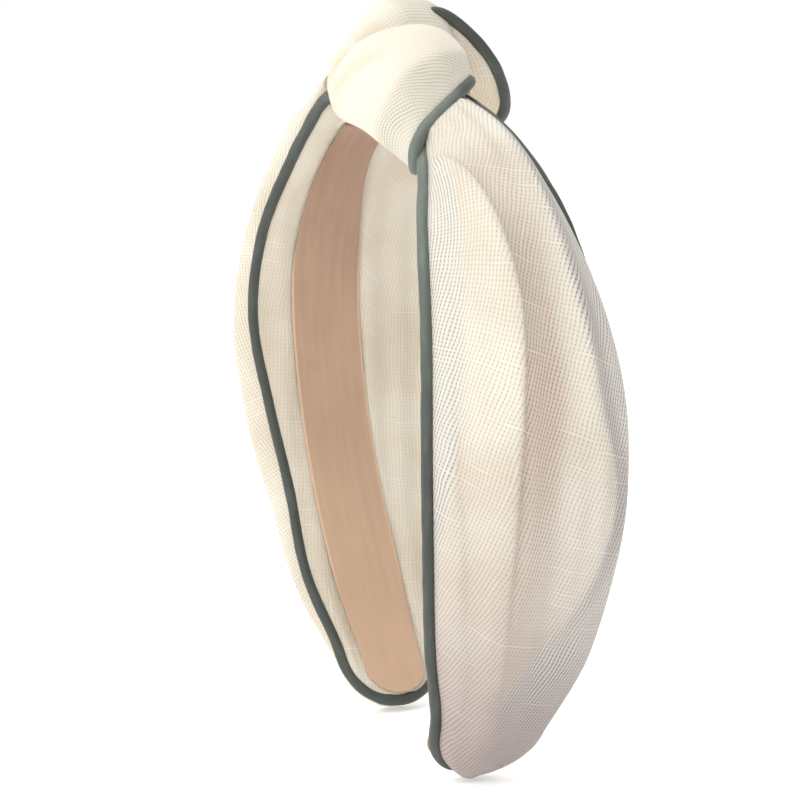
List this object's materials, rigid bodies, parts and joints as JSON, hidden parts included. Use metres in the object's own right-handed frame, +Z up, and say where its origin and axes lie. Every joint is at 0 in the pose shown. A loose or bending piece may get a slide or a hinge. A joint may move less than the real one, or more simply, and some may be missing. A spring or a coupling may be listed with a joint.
{
  "type": "knotted headband",
  "caption": "Springy U-shaped headband with gathered sheer cloth legs, dark piped edges, a ribbon lining and a large soft knot on the crown.",
  "frame": {"origin": "axis of the crown arc, in the middle of the hoop's width, which is the axis of the head it is worn on", "axes": "+Z up through the crown to the knot, +X to the wearer's left leg of the hoop (the right leg seen from the front), -Y the front edge; Y is the crown arc's axis"},
  "size_m": [0.152, 0.0575, 0.1752],
  "materials": {
    "core_plastic": "satin moulded plastic",
    "back_ribbon": "smooth woven ribbon",
    "tape": "thin adhesive film",
    "lining_ribbon": "brushed suede-like ribbon",
    "facing_cloth": "sheer slubbed linen gauze",
    "underlay_cloth": "sheer slubbed linen gauze",
    "sheer_cloth": "sheer slubbed linen gauze with a soft sheen",
    "filler_cord": "twisted cotton cord",
    "piping_cloth": "fine bias-cut twill",
    "thread": "sewing thread"
  },
  "bodies": {
    "root": {"band_core": "core_plastic", "core_back_ribbon": "back_ribbon", "left_lining_tape": "tape", "right_lining_tape": "tape", "left_lining_ribbon": "lining_ribbon", "right_lining_ribbon": "lining_ribbon", "left_inner_panel": "facing_cloth", "right_inner_panel": "facing_cloth", "left_underlay": "underlay_cloth", "right_underlay": "underlay_cloth", "left_outer_panel": "sheer_cloth", "right_outer_panel": "sheer_cloth", "left_filler_cord": "filler_cord", "right_filler_cord": "filler_cord", "left_piping": "piping_cloth", "right_piping": "piping_cloth", "left_gather": "underlay_cloth", "right_gather": "underlay_cloth", "knot_wrap": "sheer_cloth", "knot_wrap_filler": "filler_cord", "knot_wrap_piping": "piping_cloth", "knot_fold": "sheer_cloth", "knot_tack_stitches": "thread"}
  },
  "joints": []
}
